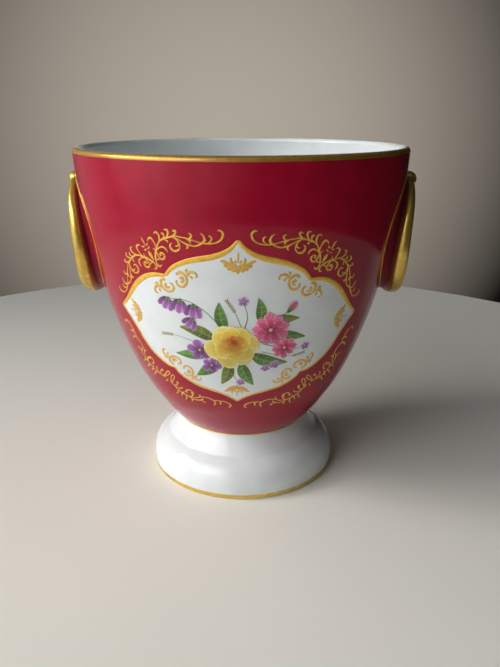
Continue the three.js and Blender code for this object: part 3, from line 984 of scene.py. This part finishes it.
def spray(side, place):
    art = Spray(side, lambda x, y, lift: place(x * SPRAY_SIZE, y * SPRAY_SIZE + SPRAY_DROP, lift))
    # stems first, so that the flowers cover their ends
    for points in (
        ((-5, -6), (-10, 3), (-16, 9), (-23, 12.5), (-31.5, 12.5)), ((-16, 9), (-17.5, 5), (-20.5, 3)),
        ((9, -5), (17, 4), (21, 7), (23.4, 9.2)), ((3, -2), (4.5, 6), (2.5, 13.5)), ((5, -16), (13, -22), (19.4, -23.4)),
        ((-2, -22), (-2, -30), (1, -36)), ((12, -9), (22, -12), (30, -13.5), (35, -12.5)),
    ):
        art.line(points, 0.6, "54702F", "8A9A5A")
    art.grass(((-14, -12), (-24, -9), (-32, -7.5), (-39, -8)), 6, 1.4)
    art.grass(((12, -14), (22, -17), (30, -18), (36, -16.5)), 6, 1.3)
    art.grass(((2, 0), (-1, 8), (-5, 14.5)), 6, 1.3)
    art.leaf((-10, -8), (-28, -2), 6.6, bend=-1.8, shades=OLIVES)
    art.leaf((-11, -12), (-33, -19), 7.2, bend=2.2)
    art.leaf((-9, -18), (-23, -33), 7.4, bend=1.6, tone=0.85)
    art.leaf((-4, -21), (-9, -38), 6.4, bend=1.4, shades=OLIVES)
    art.leaf((2, -21), (9.5, -38), 6.8, bend=-1.4)
    art.leaf((6, -15), (27, -22), 7.2, bend=-2)
    art.leaf((11, -8), (34, -6.5), 6.6, bend=2, tone=0.85)
    art.leaf((12, 1), (29, 4.5), 5.4, bend=1.4, shades=OLIVES)
    art.leaf((-5, -2), (-8, 13), 5.4, bend=1.2, tone=0.9)
    art.leaf((10, 3), (9, 15.5), 4.6, bend=-1)
    art.done("leaves")
    for place_of_bell, angle, size in (
        ((-31.5, 12.6), -118, 6), ((-25.6, 12.4), -104, 6.6), ((-19.6, 10.6), -98, 6.4), ((-20.5, 3.2), -126, 5.6),
    ):
        art.bell(place_of_bell, math.radians(angle), size)
    art.star((-19, -14.5), 6.6, 0.5, PURPLES, hairs=6)
    art.star((-13.5, -24), 5.4, 1.2, PURPLES, hairs=5)
    art.star((2, -35.5), 2.6, 0.7)
    art.star((20, -22.8), 3, 0.1)
    art.star((15, -25), 2.6, 0.9)
    art.star((35, -12.4), 2.4, 0.5)
    art.star((2.4, 13.8), 2.4, 0.2)
    art.done("bells_and_violets")
    art.pink((23.5, -12), 6.4, 0.9, count=8)
    art.pink((15.5, -1), 8.8, 0.3)
    art.bud((22.2, 7.8), (26, 12.8), 3.8)
    art.done("pinks")
    art.rose((-2.5, -11), 13.4, 0.25)
    art.done("rose")


# Where each scroll was laid: its middle and the way it faces
SCROLLS = {
    "upper_left": (UPPER_DRAWING, (-35.2, 31), (-0.48, 0.877)),
    "upper_right": (UPPER_DRAWING, (35.9, 30.1), (0.501, 0.865)),
    "lower_left": (LOWER_DRAWING, (-41.3, -37), (-0.645, -0.765), (1, LOWER_FAR_SHARE)),
    "lower_right": (LOWER_DRAWING, (39.8, -39), (0.607, -0.796), (LOWER_FAR_SHARE, 1)),
}


def painted_side(side, place):
    panel(side, askew(place))
    panel_gold(side, askew(place))
    inner_gold(side, askew(place))
    spray(side, askew(place))
    for name, laid in SCROLLS.items():
        gold_scroll(f"{side}_{name}_scroll", place, *laid)


def repeat_on_the_back():
    """The same painting on the other side: each front piece again, turned half round"""
    for name, slot in list(SLOTS.items()):
        if not name.startswith("front_"):
            continue
        mesh = bpy.data.objects[name].data.copy()
        mesh.transform(Matrix.Rotation(math.pi, 4, "Z"))
        copy = bpy.data.objects.new(name.replace("front", "back"), mesh)
        bpy.context.scene.collection.objects.link(copy)
        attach(copy, "root")


painted_side("front", on_wall)
repeat_on_the_back()


# Camera at the photograph's place, floor and light

camera = bpy.data.objects.new("camera", bpy.data.cameras.new("camera"))
camera.data.sensor_fit = "HORIZONTAL"
camera.data.sensor_width = 36
camera.data.lens = 44.64
camera.data.clip_start = 0.01
camera.location = (9.35 * MM, -314.87 * MM, 184.8 * MM)
camera.rotation_euler = (math.radians(90 - 19.83), 0, math.radians(0.97))
bpy.context.scene.collection.objects.link(camera)
bpy.context.scene.camera = camera


def floor():
    """A plain pale table top"""
    work = bmesh.new()
    bmesh.ops.create_circle(work, cap_ends=True, segments=128, radius=0.39)
    bmesh.ops.translate(work, vec=(-0.013, 0.009, 0), verts=work.verts)
    mesh = bpy.data.meshes.new("floor")
    work.to_mesh(mesh)
    work.free()
    table = bpy.data.objects.new("floor", mesh)
    bpy.context.scene.collection.objects.link(table)
    material, tree = blank_material("pale_table_top")
    place = node(tree, "ShaderNodeTexCoord").outputs["Object"]
    clouds = node(tree, "ShaderNodeTexNoise", {"Vector": place, "Scale": 4.0, "Detail": 2.0})
    surface = node(tree, "ShaderNodeBsdfPrincipled", {
        "Base Color": ramp(tree, clouds.outputs["Fac"], (0.3, colour("E9E8E0")), (0.7, colour("EDECE5"))),
        "Roughness": 0.55,
    })
    node(tree, "ShaderNodeOutputMaterial", {"Surface": surface.outputs["BSDF"]})
    mesh.materials.append(material)


def soft_lamp(name, at, target, size, power, tint="FFFFFF", spread=180):
    lamp = bpy.data.lights.new(name, "AREA")
    lamp.spread = math.radians(spread)
    lamp.shape = "RECTANGLE"
    lamp.size, lamp.size_y = size
    lamp.energy = power
    lamp.color = colour(tint)[:3]
    holder = bpy.data.objects.new(name, lamp)
    holder.location = at
    holder.rotation_euler = (Vector(target) - Vector(at)).to_track_quat("-Z", "Y").to_euler()
    bpy.context.scene.collection.objects.link(holder)


floor()
soft_lamp("window", (-0.95, -0.16, 0.6), (-0.02, -0.12, 0.02), (0.5, 0.3), 0.72, "FFFBF5", spread=50)
soft_lamp("window_spill", (-0.95, -0.6, 0.7), (0, 0, 0.09), (0.8, 0.8), 1.1)
soft_lamp("front_fill", (-0.8, -0.86, 0.8), (0, 0, 0.09), (0.8, 0.8), 5.8, "FCFDFF")

# The room: a dim room with a window side to the left, a pale ceiling and a greige wall behind the pot.
# Each part is a soft patch of light round one direction.
ROOM = (
    ((-0.06, 1, -0.045), 0.885, 1.0, "LINEAR", "ADA498", 1.0),
    ((-0.98, 0, 0.1), 0.3, 0.95, "SMOOTHSTEP", "E4E6E8", 0.47),
    ((-0.93, -0.4, 0.2), 0.82, 0.95, "SMOOTHSTEP", "F2F3F2", 0.65),
    ((-0.1, -0.62, 0.78), 0.8, 0.96, "SMOOTHSTEP", "E8E2DA", 0.2),
    ((-0.7, -0.7, 0.1), 0.6, 0.95, "SMOOTHSTEP", "E4E4E4", 0.5),
    ((-0.6, -0.8, -0.12), 0.93, 0.965, "SMOOTHSTEP", "D8D2CC", 0.3),
    ((-0.15, -0.98, -0.12), 0.93, 0.99, "SMOOTHSTEP", "F0E8DC", 0.22),
    ((-0.1, 0, 1), 0.2, 0.9, "SMOOTHSTEP", "E4E4E4", 0.03),
)
ROOM_SHADE = "141210"

world = bpy.data.worlds.new("room")
bpy.context.scene.world = world
world.use_nodes = True
tree = world.node_tree
tree.nodes.clear()
direction = node(tree, "ShaderNodeTexCoord").outputs["Generated"]


def share_round(axis, from_share, to_share, fade="LINEAR"):
    """How much of a soft patch round one direction is seen in this direction"""
    towards = node(tree, "ShaderNodeVectorMath", {0: direction, 1: Vector(axis).normalized()}, operation="DOT_PRODUCT")
    return node(
        tree, "ShaderNodeMapRange", {"Value": towards.outputs["Value"], "From Min": from_share, "From Max": to_share},
        interpolation_type=fade,
    ).outputs["Result"]


def lighter(below, share, tint, strength=1.0):
    """Add light of one colour to what is there already"""
    power = node(tree, "ShaderNodeMath", {0: share, 1: strength}, operation="MULTIPLY")
    light = node(tree, "ShaderNodeBackground", {"Color": colour(tint), "Strength": power.outputs["Value"]})
    return node(tree, "ShaderNodeAddShader", {0: below, 1: light.outputs["Background"]}).outputs["Shader"]


shade = node(tree, "ShaderNodeBackground", {"Color": colour(ROOM_SHADE)}).outputs["Background"]
wall = room = lighter(shade, share_round(*ROOM[0][:4]), *ROOM[0][4:])
for part in ROOM[1:]:
    room = lighter(room, share_round(*part[:4]), *part[4:])
# In views from other sides and from above the camera sees a plain greige backdrop instead of the room.
away_from_wall = share_round(ROOM[0][0], 0.88, 0.8)
below_table = share_round((0, 0, -1), 0.3, 0.42)
elsewhere = node(tree, "ShaderNodeMath", {0: away_from_wall, 1: below_table}, operation="MAXIMUM")
backdrop = lighter(wall, elsewhere.outputs["Value"], "A8A198")
seen = node(tree, "ShaderNodeLightPath").outputs["Is Camera Ray"]
surface = node(tree, "ShaderNodeMixShader", {0: seen, 1: room, 2: backdrop})
node(tree, "ShaderNodeOutputWorld", {"Surface": surface.outputs["Shader"]})

bpy.context.scene.view_settings.view_transform = "Standard"
